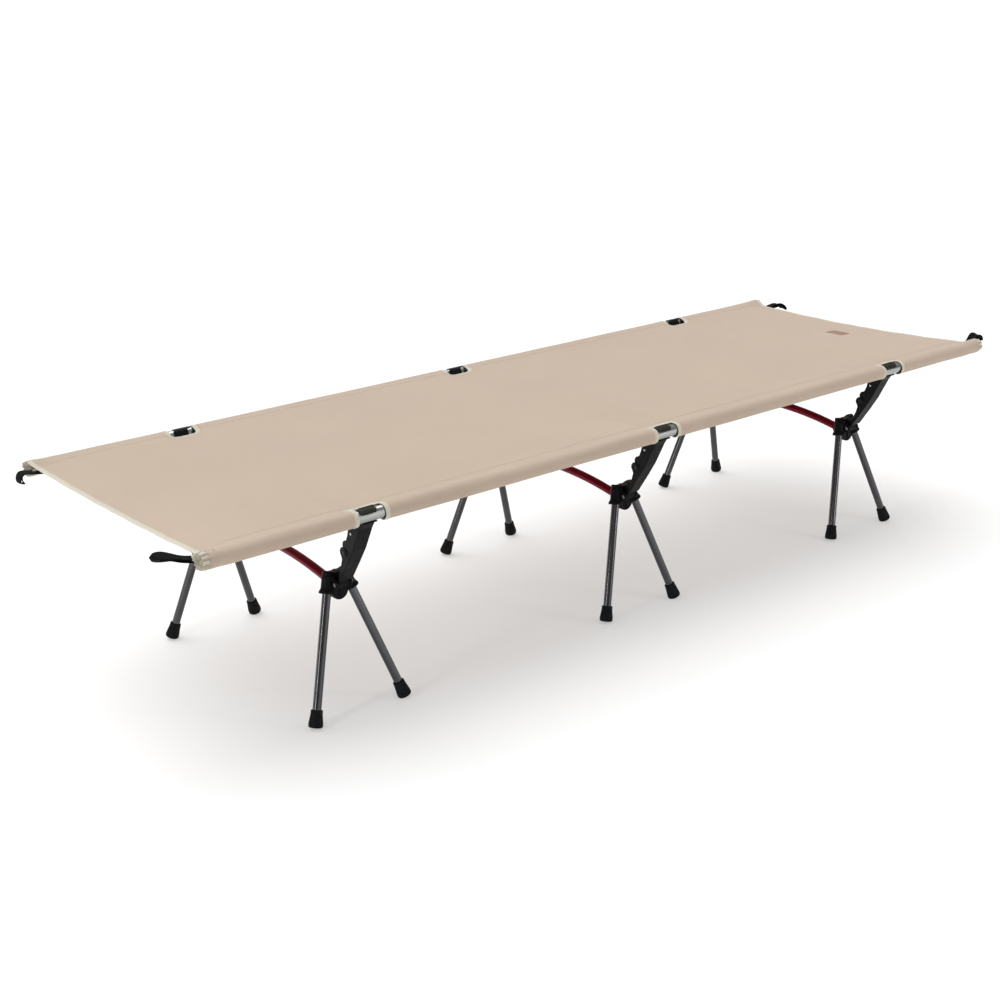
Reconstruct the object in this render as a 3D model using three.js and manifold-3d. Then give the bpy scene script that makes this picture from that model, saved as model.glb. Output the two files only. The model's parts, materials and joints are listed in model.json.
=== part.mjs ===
// Folding cot: a fabric deck stretched between two side poles. Three arched bows run
// across under it, and each bow end carries a hub with two plug-in legs and an
// over-centre tension lever that pushes the side pole outward.
// Millimetres. +X runs along the bed, +Y across it, +Z up, and the floor is z = 0.

import * as THREE from 'three';
import { mergeVertices } from 'three/addons/utils/BufferGeometryUtils.js';
import Module from 'manifold-3d';

const wasm = await Module();
wasm.setup();

const GAP = 0.3;

// Side poles
const POLE_LENGTH = 1896;
const POLE_RADIUS = 11;
const POLE_WALL = 1.3;
const POLE_Y = 321.3;
const POLE_Z = 371.5;

// Fabric deck
const DECK_LENGTH = 1900;
const DECK_THICKNESS = 1.6;
const SLEEVE_INNER_RADIUS = 11.4;
const SLEEVE_OUTER_RADIUS = SLEEVE_INNER_RADIUS + DECK_THICKNESS;
const DECK_TOP = POLE_Z + SLEEVE_OUTER_RADIUS;
const DECK_UNDERSIDE = DECK_TOP - DECK_THICKNESS;
const SLEEVE_END_CAP = 1.7;
const HEM_INSET = 8;
const HEM_CORNER_RADIUS = 14;
const HEM_CORNER_Y = POLE_Y - SLEEVE_OUTER_RADIUS;
const NOTCH_LENGTH = 52;
const NOTCH_REACH = 26;
const NOTCH_CORNER_RADIUS = 9;

// Leg frames along the bed
const FRAME_X = [-650, 0, 650];

// Bows
const BOW_RADIUS = 8;
const BOW_WALL = 1.5;
const BOW_CROWN_Z = 242;
const BOW_BEND_RADIUS = 860;
const BOW_END_Y = 199;

// Legs: each leaves its socket at the mouth and splays along the bed and outward
const LEG_RADIUS = 7.5;
const LEG_WALL = 1.2;
const LEG_MOUTH = new THREE.Vector3(24.6, 214.8, 211.4);
const LEG_FOOT = new THREE.Vector3(92, 257.5, 0);
const LEG_INSERTION = 28;
const LEG_END_ABOVE_FLOOR = 14;
const SOCKET_DEPTH = 30;
const SOCKET_LENGTH = 38;
const SOCKET_RADIUS = 10.8;
const COLLAR_RADIUS = 13.4;
const COLLAR_LENGTH = 9;
const COLLAR_LIP = 2.5;

// Rubber feet: boots square to the leg, so each one stands on the inner edge of its sole,
// where the rubber is pressed flat by the floor
const FOOT_LENGTH = 30;
const FOOT_TOP_RADIUS = 10.2;
const FOOT_BASE_RADIUS = 12.4;
const FOOT_SHOULDER = 1.4;
const FOOT_FLARE_SHARE = 0.72;
const FOOT_EDGE_RADIUS = 3.2;
const FOOT_EDGE_STEPS = 4;
const FOOT_SOLE_DOME = 0.9;
const FOOT_SQUASH = 0.5;

// Hub
const HUB_PIN = new THREE.Vector2(227.5, 228);
const WEB_INNER_Y = 203;
const WEB_OUTER_Y = 219;
const WEB_HALF_WIDTH = 17;
const WEB_TOP_Z = 246;
const BELLY_RADIUS = 16;
const BELLY_Z = 212;
const BOW_SOCKET_MOUTH_Y = 172;
const BOW_SOCKET_RADIUS = 11.6;
const BOW_SOCKET_ROOT = 8;
const BOW_SOCKET_BORE = BOW_RADIUS + 0.5;
const EAR_INNER_X = 10.3;
const EAR_OUTER_X = 15.3;
const EAR_RADIUS = 7.6;
const EAR_ROOT_Y = 207;
const EAR_TOP_Z = 241;
const EAR_LOW_Z = 216;
const EAR_ARC_START = -80;
const EAR_ARC_END = 70;
const WEB_TOP_TAPER = 4;
const WEB_WAIST_Z = 218;

// Hinge pins of the tension levers
const PIN_RADIUS = 2.7;
const PIN_HEAD_RADIUS = 4.6;
const PIN_HEAD_LENGTH = 1.8;
const RUNNING_BORE = 3.1;

// Tension lever and link. Stations run from the hub pin towards the side pole,
// and offsets run inward from that line.
const LINK_HALF_WIDTH = 9.6;
const LINK_EYE_RADIUS = 6.3;
const LINK_HALF_THICKNESS = 3;
const KNUCKLE_STATION = 76;
const KNUCKLE_OFFSET = 6;
const LEVER_HALF_WIDTH = 13.5;
const LEVER_WALL = 2.9;
const LEVER_PLATE = 2.6;
const LEVER_TAIL_STATION = 14;
const LEVER_TAIL_OFFSET = -5.2;
const LEVER_BEND_STATION = 95;
const LEVER_BEND_OFFSET = -8.6;
const LEVER_TOP_STATION = 166;
const LEVER_TOP_OFFSET = -3.6;
const LEVER_NECK_OFFSET = 8;
const HOOK_HALF_WIDTH = 16;
const HOOK_INNER_RADIUS = POLE_RADIUS + 0.8;
const HOOK_OUTER_RADIUS = 14;
const HOOK_LIP_ANGLE = 116;
const HOOK_HEEL_ANGLE = 322;

// Webbing pull loops
const LOOP_Y = POLE_Y - 30;
const LOOP_WIDTH = 20;
const WEBBING = 1.6;
const LOOP_TAIL_X = 922;
const LOOP_FORK_X = 950;
const LOOP_EYE_INSET = 6;
const LOOP_EYE_ROOT = 1.6 * WEBBING;
const LOOP_TIP_X = 1015;
const LOOP_TIP_RADIUS = 7;
const LOOP_TOP = DECK_UNDERSIDE - GAP;

const X_AXIS = new THREE.Vector3(1, 0, 0);
const Y_AXIS = new THREE.Vector3(0, 1, 0);
const Z_AXIS = new THREE.Vector3(0, 0, 1);

const FABRIC = new THREE.MeshStandardMaterial({ color: 0xcebcab, roughness: 0.85, metalness: 0 });
const POLE_METAL = new THREE.MeshStandardMaterial({ color: 0xc9cbcc, roughness: 0.25, metalness: 1 });
const LEG_METAL = new THREE.MeshStandardMaterial({ color: 0x6e6d70, roughness: 0.35, metalness: 1 });
const BOW_METAL = new THREE.MeshStandardMaterial({ color: 0x6a1420, roughness: 0.35, metalness: 0.9 });
const NYLON = new THREE.MeshStandardMaterial({ color: 0x141416, roughness: 0.5, metalness: 0 });
const STEEL = new THREE.MeshStandardMaterial({ color: 0x8f9194, roughness: 0.35, metalness: 1 });
const RUBBER = new THREE.MeshStandardMaterial({ color: 0x18181a, roughness: 0.8, metalness: 0 });
const WEBBING_CLOTH = new THREE.MeshStandardMaterial({ color: 0x17171a, roughness: 0.9, metalness: 0 });

// Closed BufferGeometry to a manifold solid, and back
function toSolid(geometry) {
  const bare = geometry.clone();
  bare.deleteAttribute('normal');
  bare.deleteAttribute('uv');
  const merged = mergeVertices(bare);
  const vertProperties = Float32Array.from(merged.attributes.position.array);
  const triVerts = Uint32Array.from(merged.index.array);
  return new wasm.Manifold(new wasm.Mesh({ numProp: 3, vertProperties, triVerts }));
}

function toGeometry(solid) {
  const mesh = solid.getMesh();
  const geometry = new THREE.BufferGeometry();
  geometry.setAttribute('position', new THREE.BufferAttribute(mesh.vertProperties, 3));
  geometry.setIndex(new THREE.BufferAttribute(mesh.triVerts, 1));
  geometry.computeVertexNormals();
  return geometry;
}

const union = (geometries) => geometries.map(toSolid).reduce((sum, next) => sum.add(next));

// Turned solid: a profile of [radius, station] pairs, stations counted from start towards end
function turned(profile, start, end, sides) {
  const axis = new THREE.Vector3().subVectors(end, start).normalize();
  const points = profile.map(([radius, station]) => new THREE.Vector2(radius, station));
  const geometry = new THREE.LatheGeometry(points, sides);
  geometry.applyQuaternion(new THREE.Quaternion().setFromUnitVectors(Y_AXIS, axis));
  geometry.translate(start.x, start.y, start.z);
  return geometry;
}

// Round bar from one point to another
function rod(start, end, radius, sides) {
  const length = start.distanceTo(end);
  return turned([[0, 0], [radius, 0], [radius, length], [0, length]], start, end, sides);
}

// Tube with open ends from one point to another
function tube(start, end, radius, wall, sides) {
  const length = start.distanceTo(end);
  const inner = radius - wall;
  const profile = [[radius, 0], [radius, length], [inner, length], [inner, 0], [radius, 0]];
  return turned(profile, start, end, sides);
}

// Bar along X through a point of the (y, z) plane
function crossBar(centre, radius, halfLength, sides) {
  const start = new THREE.Vector3(-halfLength, centre.x, centre.y);
  const end = new THREE.Vector3(halfLength, centre.x, centre.y);
  return rod(start, end, radius, sides);
}

// Outline drawn in the (y, z) plane, extruded along X
function profileAlongX(shape, xMin, xMax, curveSegments = 8) {
  const options = { depth: xMax - xMin, bevelEnabled: false, curveSegments };
  const geometry = new THREE.ExtrudeGeometry(shape, options);
  geometry.applyMatrix4(new THREE.Matrix4().makeBasis(Y_AXIS, Z_AXIS, X_AXIS));
  geometry.translate(xMin, 0, 0);
  return geometry;
}

// Outline drawn in the (x, z) plane, extruded along Y
function profileAlongY(shape, yMin, yMax, curveSegments = 8) {
  const options = { depth: yMax - yMin, bevelEnabled: false, curveSegments };
  const geometry = new THREE.ExtrudeGeometry(shape, options);
  geometry.applyMatrix4(new THREE.Matrix4().makeBasis(X_AXIS, Z_AXIS, Y_AXIS.clone().negate()));
  geometry.translate(0, yMax, 0);
  return geometry;
}

function box(min, max) {
  const size = new THREE.Vector3().subVectors(max, min);
  const geometry = new THREE.BoxGeometry(size.x, size.y, size.z);
  const middle = new THREE.Vector3().addVectors(min, max).multiplyScalar(0.5);
  geometry.translate(middle.x, middle.y, middle.z);
  return geometry;
}

const degrees = (angle) => THREE.MathUtils.degToRad(angle);

// Fabric deck: a taut panel with a sleeve along each side, notched at the leg frames

function deckSection() {
  const shape = new THREE.Shape();
  const underside = DECK_UNDERSIDE - POLE_Z;
  const weld = Math.asin(underside / SLEEVE_OUTER_RADIUS);
  shape.absarc(POLE_Y, POLE_Z, SLEEVE_OUTER_RADIUS, Math.PI / 2, -Math.PI - weld, true);
  shape.absarc(-POLE_Y, POLE_Z, SLEEVE_OUTER_RADIUS, weld, -1.5 * Math.PI, true);
  return shape;
}

// A notch in plan, open towards the outside of the sleeve
function notchPlan(frameX) {
  const half = NOTCH_LENGTH / 2;
  const corner = half - NOTCH_CORNER_RADIUS;
  const reach = POLE_Y - NOTCH_REACH;
  const bend = reach + NOTCH_CORNER_RADIUS;
  const outside = POLE_Y + 2 * SLEEVE_OUTER_RADIUS;
  const shape = new THREE.Shape();
  shape.moveTo(frameX + half, outside);
  shape.lineTo(frameX - half, outside);
  shape.absarc(frameX - corner, bend, NOTCH_CORNER_RADIUS, Math.PI, 1.5 * Math.PI, false);
  shape.absarc(frameX + corner, bend, NOTCH_CORNER_RADIUS, 1.5 * Math.PI, 2 * Math.PI, false);
  return shape;
}

// The end hem of the panel sits back from the sleeve ends
function hemPlan() {
  const hem = DECK_LENGTH / 2 - HEM_INSET;
  const beyond = DECK_LENGTH / 2 + HEM_INSET;
  const shape = new THREE.Shape();
  shape.moveTo(beyond, -HEM_CORNER_Y);
  shape.lineTo(beyond, HEM_CORNER_Y);
  shape.lineTo(hem + HEM_INSET, HEM_CORNER_Y);
  shape.quadraticCurveTo(hem, HEM_CORNER_Y, hem, HEM_CORNER_Y - HEM_CORNER_RADIUS);
  shape.lineTo(hem, HEM_CORNER_RADIUS - HEM_CORNER_Y);
  shape.quadraticCurveTo(hem, -HEM_CORNER_Y, hem + HEM_INSET, -HEM_CORNER_Y);
  return shape;
}

function planCut(shape) {
  const options = { depth: 6 * SLEEVE_OUTER_RADIUS, bevelEnabled: false, curveSegments: 4 };
  const geometry = new THREE.ExtrudeGeometry(shape, options);
  geometry.translate(0, 0, POLE_Z - 3 * SLEEVE_OUTER_RADIUS);
  return toSolid(geometry);
}

function fabricDeck() {
  let solid = toSolid(profileAlongX(deckSection(), -DECK_LENGTH / 2, DECK_LENGTH / 2, 7));
  const boreHalf = DECK_LENGTH / 2 - SLEEVE_END_CAP;
  for (const side of [-1, 1]) {
    const centre = new THREE.Vector2(side * POLE_Y, POLE_Z);
    solid = solid.subtract(toSolid(crossBar(centre, SLEEVE_INNER_RADIUS, boreHalf, 18)));
  }
  for (const frameX of FRAME_X) {
    const notch = planCut(notchPlan(frameX));
    solid = solid.subtract(notch).subtract(notch.mirror([0, 1, 0]));
  }
  const hem = planCut(hemPlan());
  solid = solid.subtract(hem).subtract(hem.mirror([1, 0, 0]));
  return toGeometry(solid);
}

function sidePole() {
  const start = new THREE.Vector3(-POLE_LENGTH / 2, 0, 0);
  const end = new THREE.Vector3(POLE_LENGTH / 2, 0, 0);
  return tube(start, end, POLE_RADIUS, POLE_WALL, 20);
}

// Bow: a tube bent to one large radius, lower at its ends than in the middle

const bowHeight = (y) => BOW_CROWN_Z - BOW_BEND_RADIUS + Math.sqrt(BOW_BEND_RADIUS ** 2 - y ** 2);

class BowCurve extends THREE.Curve {
  getPoint(t) {
    const y = (2 * t - 1) * BOW_END_Y;
    return new THREE.Vector3(0, y, bowHeight(y));
  }
}

function bowTube() {
  const section = new THREE.Shape();
  section.absarc(0, 0, BOW_RADIUS, 0, 2 * Math.PI, false);
  const bore = new THREE.Path();
  bore.absarc(0, 0, BOW_RADIUS - BOW_WALL, 0, 2 * Math.PI, true);
  section.holes.push(bore);
  const options = { steps: 10, extrudePath: new BowCurve(), bevelEnabled: false, curveSegments: 6 };
  return new THREE.ExtrudeGeometry(section, options);
}

// Legs and feet, for the side of the hub towards +X (sideX = 1) or -X (sideX = -1)

function legPoint(sideX, station) {
  const along = new THREE.Vector3().subVectors(LEG_FOOT, LEG_MOUTH).normalize();
  const point = LEG_MOUTH.clone().addScaledVector(along, station);
  point.x *= sideX;
  return point;
}

const LEG_TO_FLOOR = LEG_MOUTH.distanceTo(LEG_FOOT);

function legTube(sideX) {
  const start = legPoint(sideX, -LEG_INSERTION);
  const end = legPoint(sideX, LEG_TO_FLOOR - LEG_END_ABOVE_FLOOR);
  return tube(start, end, LEG_RADIUS, LEG_WALL, 12);
}

// Distance along the leg from the sole's plane to the floor, with the inner edge just squashed
function soleToFloor() {
  const steepness = LEG_MOUTH.z / LEG_TO_FLOOR;
  const lean = Math.sqrt(1 - steepness ** 2);
  const edgeReach = (FOOT_BASE_RADIUS - FOOT_EDGE_RADIUS) * lean;
  return (edgeReach + FOOT_EDGE_RADIUS - FOOT_SQUASH) / steepness - FOOT_EDGE_RADIUS;
}

// The rounded edge between the boot's side and its sole
function footEdge() {
  const points = [];
  for (let step = 0; step <= FOOT_EDGE_STEPS; step += 1) {
    const angle = (Math.PI / 2) * (step / FOOT_EDGE_STEPS);
    points.push([
      FOOT_BASE_RADIUS - FOOT_EDGE_RADIUS * (1 - Math.cos(angle)),
      FOOT_LENGTH - FOOT_EDGE_RADIUS * (1 - Math.sin(angle)),
    ]);
  }
  return points;
}

function rubberFoot(sideX) {
  const boreRadius = LEG_RADIUS + GAP;
  const topStation = LEG_TO_FLOOR - soleToFloor() - FOOT_LENGTH;
  const boreDepth = LEG_TO_FLOOR - LEG_END_ABOVE_FLOOR - topStation + GAP;
  const profile = [
    [0, boreDepth],
    [boreRadius, boreDepth],
    [boreRadius, 0],
    [FOOT_TOP_RADIUS - FOOT_SHOULDER, 0],
    [FOOT_TOP_RADIUS, 2 * FOOT_SHOULDER],
    [FOOT_BASE_RADIUS, FOOT_LENGTH * FOOT_FLARE_SHARE],
    ...footEdge(),
    [0, FOOT_LENGTH + FOOT_SOLE_DOME],
  ];
  const top = legPoint(sideX, topStation);
  const round = toSolid(turned(profile, top, legPoint(sideX, LEG_TO_FLOOR), 14));
  const reach = 2 * LEG_FOOT.y;
  const below = box(new THREE.Vector3(-reach, 0, -reach), new THREE.Vector3(reach, reach, 0));
  return toGeometry(round.subtract(toSolid(below)));
}

// Hub: two splayed leg sockets, a socket for the bow, and two ears for the lever's pin

function earProfile() {
  const shape = new THREE.Shape();
  shape.moveTo(EAR_ROOT_Y, EAR_TOP_Z);
  shape.lineTo(EAR_ROOT_Y, EAR_LOW_Z);
  shape.absarc(HUB_PIN.x, HUB_PIN.y, EAR_RADIUS, degrees(EAR_ARC_START), degrees(EAR_ARC_END), false);
  return shape;
}

function webProfile() {
  const shape = new THREE.Shape();
  shape.moveTo(WEB_TOP_TAPER - WEB_HALF_WIDTH, WEB_TOP_Z);
  shape.lineTo(-WEB_HALF_WIDTH, WEB_WAIST_Z);
  shape.absarc(0, BELLY_Z, BELLY_RADIUS, Math.PI, 2 * Math.PI, false);
  shape.lineTo(WEB_HALF_WIDTH, WEB_WAIST_Z);
  shape.lineTo(WEB_HALF_WIDTH - WEB_TOP_TAPER, WEB_TOP_Z);
  return shape;
}

function socketProfile() {
  return [
    [0, 0],
    [SOCKET_RADIUS, 0],
    [SOCKET_RADIUS, SOCKET_LENGTH - COLLAR_LENGTH],
    [COLLAR_RADIUS, SOCKET_LENGTH - COLLAR_LIP],
    [COLLAR_RADIUS, SOCKET_LENGTH],
    [0, SOCKET_LENGTH],
  ];
}

function hubBody() {
  const solids = [profileAlongY(webProfile(), WEB_INNER_Y, WEB_OUTER_Y, 4)];
  const cuts = [];
  for (const sideX of [-1, 1]) {
    solids.push(turned(socketProfile(), legPoint(sideX, -SOCKET_LENGTH), legPoint(sideX, 0), 16));
    cuts.push(rod(legPoint(sideX, -SOCKET_DEPTH), legPoint(sideX, SOCKET_DEPTH), LEG_RADIUS + GAP, 16));
    const earStart = sideX > 0 ? EAR_INNER_X : -EAR_OUTER_X;
    solids.push(profileAlongX(earProfile(), earStart, earStart + EAR_OUTER_X - EAR_INNER_X, 4));
  }
  const mouth = new THREE.Vector3(0, BOW_SOCKET_MOUTH_Y, bowHeight(BOW_SOCKET_MOUTH_Y));
  const seat = new THREE.Vector3(0, BOW_END_Y, bowHeight(BOW_END_Y));
  const inward = new THREE.Vector3().subVectors(mouth, seat).normalize();
  const behind = seat.clone().addScaledVector(inward, -BOW_SOCKET_ROOT);
  const before = mouth.clone().addScaledVector(inward, BOW_SOCKET_ROOT);
  solids.push(rod(mouth, behind, BOW_SOCKET_RADIUS, 16));
  cuts.push(rod(before, seat.clone().addScaledVector(inward, -GAP), BOW_SOCKET_BORE, 16));
  cuts.push(crossBar(HUB_PIN, PIN_RADIUS + GAP, EAR_OUTER_X + 1, 10));
  return toGeometry(cuts.reduce((solid, cut) => solid.subtract(toSolid(cut)), union(solids)));
}

function hubPin() {
  const shankEnd = EAR_OUTER_X + GAP;
  const half = shankEnd + PIN_HEAD_LENGTH;
  const profile = [
    [0, 0],
    [PIN_HEAD_RADIUS, 0],
    [PIN_HEAD_RADIUS, half - shankEnd],
    [PIN_RADIUS, half - shankEnd],
    [PIN_RADIUS, half + shankEnd],
    [PIN_HEAD_RADIUS, half + shankEnd],
    [PIN_HEAD_RADIUS, 2 * half],
    [0, 2 * half],
  ];
  const start = new THREE.Vector3(-half, HUB_PIN.x, HUB_PIN.y);
  const end = new THREE.Vector3(half, HUB_PIN.x, HUB_PIN.y);
  return turned(profile, start, end, 10);
}

// Point of the (y, z) plane at a station and offset of the toggle line
const POLE_CENTRE = new THREE.Vector2(POLE_Y, POLE_Z);
const TOGGLE_DIRECTION = new THREE.Vector2().subVectors(POLE_CENTRE, HUB_PIN).normalize();

function togglePoint(station, offset) {
  const inward = new THREE.Vector2(-TOGGLE_DIRECTION.y, TOGGLE_DIRECTION.x);
  return HUB_PIN.clone().addScaledVector(TOGGLE_DIRECTION, station).addScaledVector(inward, offset);
}

const KNUCKLE = togglePoint(KNUCKLE_STATION, KNUCKLE_OFFSET);

// Link: a bar with an eye at the hub pin and an eye at the knuckle

function toggleLink() {
  const along = new THREE.Vector2().subVectors(KNUCKLE, HUB_PIN).angle();
  const neck = Math.asin(LINK_HALF_THICKNESS / LINK_EYE_RADIUS);
  const shape = new THREE.Shape();
  const turn = 2 * Math.PI;
  shape.absarc(HUB_PIN.x, HUB_PIN.y, LINK_EYE_RADIUS, along + neck, along + turn - neck, false);
  const back = along + Math.PI;
  shape.absarc(KNUCKLE.x, KNUCKLE.y, LINK_EYE_RADIUS, back + neck, back + turn - neck, false);
  for (const eye of [HUB_PIN, KNUCKLE]) {
    const bore = new THREE.Path();
    bore.absarc(eye.x, eye.y, RUNNING_BORE, 0, turn, true);
    shape.holes.push(bore);
  }
  return profileAlongX(shape, -LINK_HALF_WIDTH, LINK_HALF_WIDTH, 5);
}

// Lever: a channel open towards the link, with a hook round the pole at its top

function shapeThrough(points) {
  return new THREE.Shape(points.map(([station, offset]) => togglePoint(station, offset)));
}

// Inner edge of a cheek, from the neck below the hook down to the foot of the lower bump
const CHEEK_SHOULDER = [[151, 13], [124, 19], [118, 18], [98, 14.5]];
const CHEEK_UPPER_BUMP = [[93, 18], [87, 19.5], [82, 18], [79, 15]];
const CHEEK_LOWER_BUMP = [[76, 18.5], [70, 19.5], [64, 17], [61, 12], [60, 7.5]];

function leverCheek() {
  return shapeThrough([
    [LEVER_TAIL_STATION, LEVER_TAIL_OFFSET],
    [LEVER_BEND_STATION, LEVER_BEND_OFFSET],
    [LEVER_TOP_STATION, LEVER_TOP_OFFSET],
    [LEVER_TOP_STATION, LEVER_NECK_OFFSET],
    ...CHEEK_SHOULDER,
    ...CHEEK_UPPER_BUMP,
    ...CHEEK_LOWER_BUMP,
    [LEVER_TAIL_STATION, LEVER_TAIL_OFFSET + LEVER_WALL],
  ]);
}

function leverPlate() {
  return shapeThrough([
    [LEVER_TAIL_STATION, LEVER_TAIL_OFFSET],
    [LEVER_BEND_STATION, LEVER_BEND_OFFSET],
    [LEVER_TOP_STATION, LEVER_TOP_OFFSET],
    [LEVER_TOP_STATION, LEVER_TOP_OFFSET + LEVER_PLATE],
    [LEVER_BEND_STATION, LEVER_BEND_OFFSET + LEVER_PLATE],
    [LEVER_TAIL_STATION, LEVER_TAIL_OFFSET + LEVER_PLATE],
  ]);
}

function leverHook() {
  const lip = degrees(HOOK_LIP_ANGLE);
  const heel = degrees(HOOK_HEEL_ANGLE);
  const shape = new THREE.Shape();
  shape.absarc(POLE_Y, POLE_Z, HOOK_OUTER_RADIUS, lip, heel, false);
  shape.absarc(POLE_Y, POLE_Z, POLE_RADIUS, heel, lip, true);
  return shape;
}

function tensionLever() {
  const cheek = leverCheek();
  const channelInner = LEVER_HALF_WIDTH - LEVER_WALL;
  const solid = union([
    profileAlongX(cheek, channelInner, LEVER_HALF_WIDTH),
    profileAlongX(cheek, -LEVER_HALF_WIDTH, -channelInner),
    profileAlongX(leverPlate(), -LEVER_HALF_WIDTH, LEVER_HALF_WIDTH),
    profileAlongX(leverHook(), -HOOK_HALF_WIDTH, HOOK_HALF_WIDTH, 6),
    crossBar(KNUCKLE, PIN_RADIUS, LEVER_HALF_WIDTH, 10),
  ]);
  const poleRoom = crossBar(POLE_CENTRE, HOOK_INNER_RADIUS, HOOK_HALF_WIDTH, 32);
  return toGeometry(solid.subtract(toSolid(poleRoom)));
}

// Pull loop: webbing folded on itself, sewn under the end hem

function pullLoop() {
  const tipX = LOOP_TIP_X - LOOP_TIP_RADIUS;
  const tipZ = LOOP_TOP - LOOP_TIP_RADIUS;
  const quarter = Math.PI / 2;
  const shape = new THREE.Shape();
  shape.moveTo(LOOP_TAIL_X, LOOP_TOP);
  shape.lineTo(LOOP_TAIL_X, LOOP_TOP - 2 * WEBBING);
  shape.lineTo(LOOP_FORK_X, LOOP_TOP - 2 * WEBBING);
  shape.absarc(tipX, tipZ, LOOP_TIP_RADIUS, -quarter, quarter, false);
  const hollow = new THREE.Path();
  hollow.moveTo(LOOP_FORK_X + LOOP_EYE_INSET, LOOP_TOP - WEBBING);
  hollow.lineTo(LOOP_FORK_X + LOOP_EYE_INSET, LOOP_TOP - LOOP_EYE_ROOT);
  hollow.absarc(tipX, tipZ, LOOP_TIP_RADIUS - WEBBING, -quarter, quarter, false);
  shape.holes.push(hollow);
  return profileAlongY(shape, LOOP_Y - LOOP_WIDTH / 2, LOOP_Y + LOOP_WIDTH / 2, 4);
}

// Assembly

const cot = new THREE.Group();

function addNode(parent, name, geometry, material) {
  const mesh = new THREE.Mesh(geometry, material);
  mesh.name = name;
  parent.add(mesh);
  return mesh;
}

addNode(cot, 'fabric_deck', fabricDeck(), FABRIC);

const poleGeometry = sidePole();
const bowGeometry = bowTube();
const hubGeometry = hubBody();
const pinGeometry = hubPin();
const linkGeometry = toggleLink();
const leverGeometry = tensionLever();
const loopGeometry = pullLoop();
const LEG_SIDES = [
  { letter: 'a', tube: legTube(-1), foot: rubberFoot(-1) },
  { letter: 'b', tube: legTube(1), foot: rubberFoot(1) },
];
const SIDES = [
  { name: 'near', sign: -1, turn: Math.PI },
  { name: 'far', sign: 1, turn: 0 },
];

for (const side of SIDES) {
  const pole = addNode(cot, `side_pole_${side.name}`, poleGeometry, POLE_METAL);
  pole.position.set(0, side.sign * POLE_Y, POLE_Z);
}

FRAME_X.forEach((frameX, index) => {
  const number = index + 1;
  const bow = addNode(cot, `bow_${number}`, bowGeometry, BOW_METAL);
  bow.position.x = frameX;
  for (const side of SIDES) {
    const station = new THREE.Group();
    station.position.x = frameX;
    station.rotation.z = side.turn;
    cot.add(station);
    const suffix = `${number}_${side.name}`;
    addNode(station, `hub_${suffix}`, hubGeometry, NYLON);
    addNode(station, `hub_pin_${suffix}`, pinGeometry, STEEL);
    addNode(station, `link_${suffix}`, linkGeometry, NYLON);
    addNode(station, `lever_${suffix}`, leverGeometry, NYLON);
    for (const leg of LEG_SIDES) {
      addNode(station, `leg_${suffix}_${leg.letter}`, leg.tube, LEG_METAL);
      addNode(station, `foot_${suffix}_${leg.letter}`, leg.foot, RUBBER);
    }
  }
});

const loopOpposite = loopGeometry.clone().translate(0, -2 * LOOP_Y, 0);
const LOOP_CORNERS = [
  { name: 'far_right', geometry: loopGeometry, turn: 0 },
  { name: 'near_left', geometry: loopGeometry, turn: Math.PI },
  { name: 'near_right', geometry: loopOpposite, turn: 0 },
  { name: 'far_left', geometry: loopOpposite, turn: Math.PI },
];

for (const corner of LOOP_CORNERS) {
  const loop = addNode(cot, `pull_loop_${corner.name}`, corner.geometry, WEBBING_CLOTH);
  loop.rotation.z = corner.turn;
}

export default cot;
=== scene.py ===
"""Folding cot: fabric deck on two side poles, three bows, six hubs, twelve legs, six tension levers."""

import json
import random
from math import asin, atan2, copysign, cos, exp, hypot, pi, radians, sin, sqrt

import bmesh
import bpy
from mathutils import Matrix, Vector, noise


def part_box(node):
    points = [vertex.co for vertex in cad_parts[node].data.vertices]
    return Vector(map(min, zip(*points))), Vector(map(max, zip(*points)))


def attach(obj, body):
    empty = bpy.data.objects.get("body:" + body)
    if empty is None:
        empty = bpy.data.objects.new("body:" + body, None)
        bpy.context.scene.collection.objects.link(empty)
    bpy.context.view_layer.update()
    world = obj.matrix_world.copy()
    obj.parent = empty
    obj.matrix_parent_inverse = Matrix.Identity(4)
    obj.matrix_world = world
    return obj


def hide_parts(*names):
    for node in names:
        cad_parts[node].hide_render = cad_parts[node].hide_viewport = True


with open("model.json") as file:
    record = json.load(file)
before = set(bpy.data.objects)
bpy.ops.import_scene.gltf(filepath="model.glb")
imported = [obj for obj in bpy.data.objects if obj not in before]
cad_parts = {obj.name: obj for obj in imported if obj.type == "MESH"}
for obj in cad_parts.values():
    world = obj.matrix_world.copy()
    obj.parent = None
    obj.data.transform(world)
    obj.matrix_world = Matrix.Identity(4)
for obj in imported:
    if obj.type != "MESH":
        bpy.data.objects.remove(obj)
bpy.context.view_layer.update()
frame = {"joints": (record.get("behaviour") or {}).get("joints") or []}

MM = 0.001
rng = random.Random(7)


# ---- places, read from the frame

def centre(node):
    low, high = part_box(node)
    return (Vector(low) + Vector(high)) / 2


POLE_LOW, POLE_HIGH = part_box("side_pole_far")
POLE_Y, POLE_Z = centre("side_pole_far").yz
POLE_RADIUS = (POLE_HIGH[2] - POLE_LOW[2]) / 2
POLE_LENGTH = POLE_HIGH[0] - POLE_LOW[0]
DECK_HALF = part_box("fabric_deck")[1][0]
FRAME_X = [centre(f"bow_{n}").x for n in (1, 2, 3)]
SIDES = {"near": Matrix.Rotation(pi, 4, "Z"), "far": Matrix.Identity(4)}
ROOT = "bed_frame"


def joint(name):
    return next(j for j in frame["joints"] if j["name"] == name)


# The far-side hub at the middle frame stands over the origin, so it serves as the pattern
HUB_PIN = Vector(joint("link_2_far_hinge")["pos_m"])
KNUCKLE = Vector(joint("lever_2_far_hinge")["pos_m"])
LEG_AXIS = Vector(joint("leg_2_far_b_slide")["axis"]).normalized()


# ---- mesh helpers

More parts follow.
